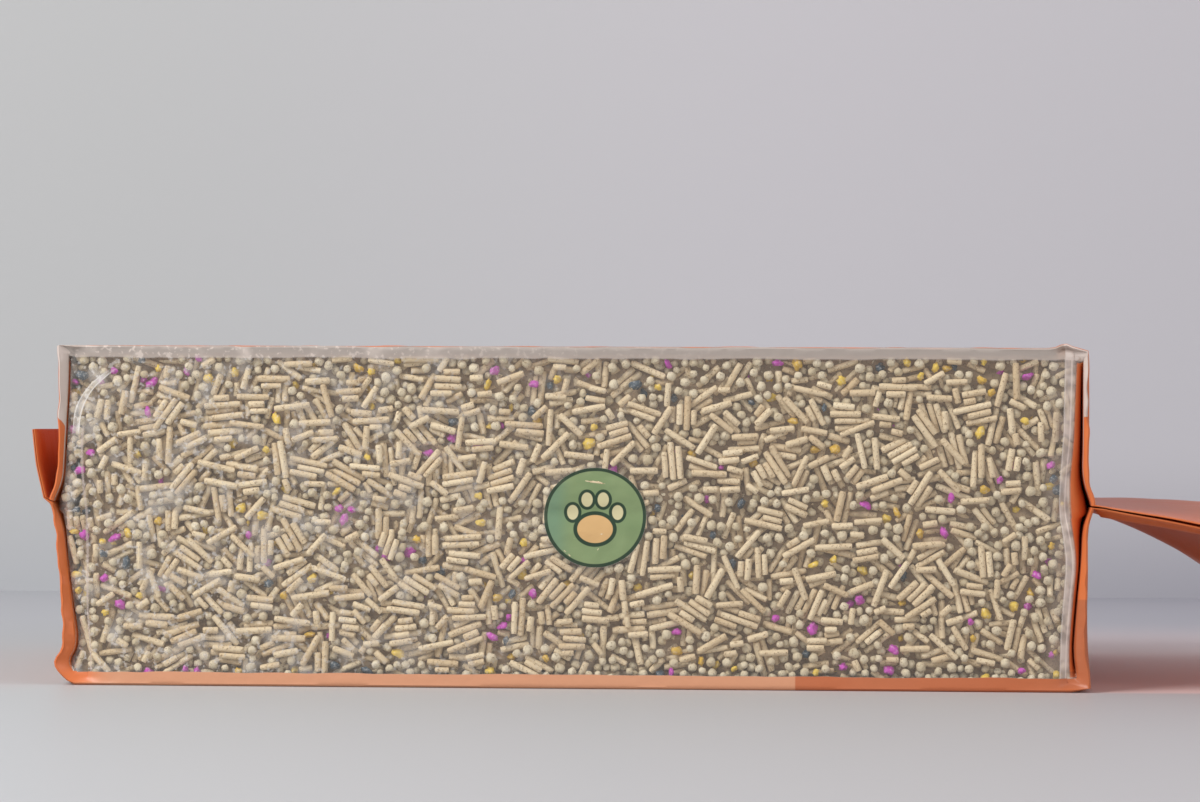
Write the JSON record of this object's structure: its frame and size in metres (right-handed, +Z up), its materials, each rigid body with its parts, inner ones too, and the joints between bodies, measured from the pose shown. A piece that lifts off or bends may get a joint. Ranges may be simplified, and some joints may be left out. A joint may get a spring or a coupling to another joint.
{
  "type": "cat litter bag",
  "caption": "Brick-shaped side-gusset bag of plant-fibre cat litter lying flat, with clear side windows and heat-sealed end fins.",
  "frame": {"origin": "middle of the flat underside, the back panel that the bag lies on", "axes": "+X from the bag's bottom end to its top end, +Y from one clear gusset to the other, +Z up through the front panel"},
  "size_m": [0.3769, 0.2, 0.0975],
  "materials": {
    "printed_film": "satin orange printed film with clear side gussets",
    "plant_litter": "matt pressed plant fibre"
  },
  "bodies": {
    "root": {"film_bag": "printed_film", "litter_fill": "plant_litter"}
  },
  "joints": []
}
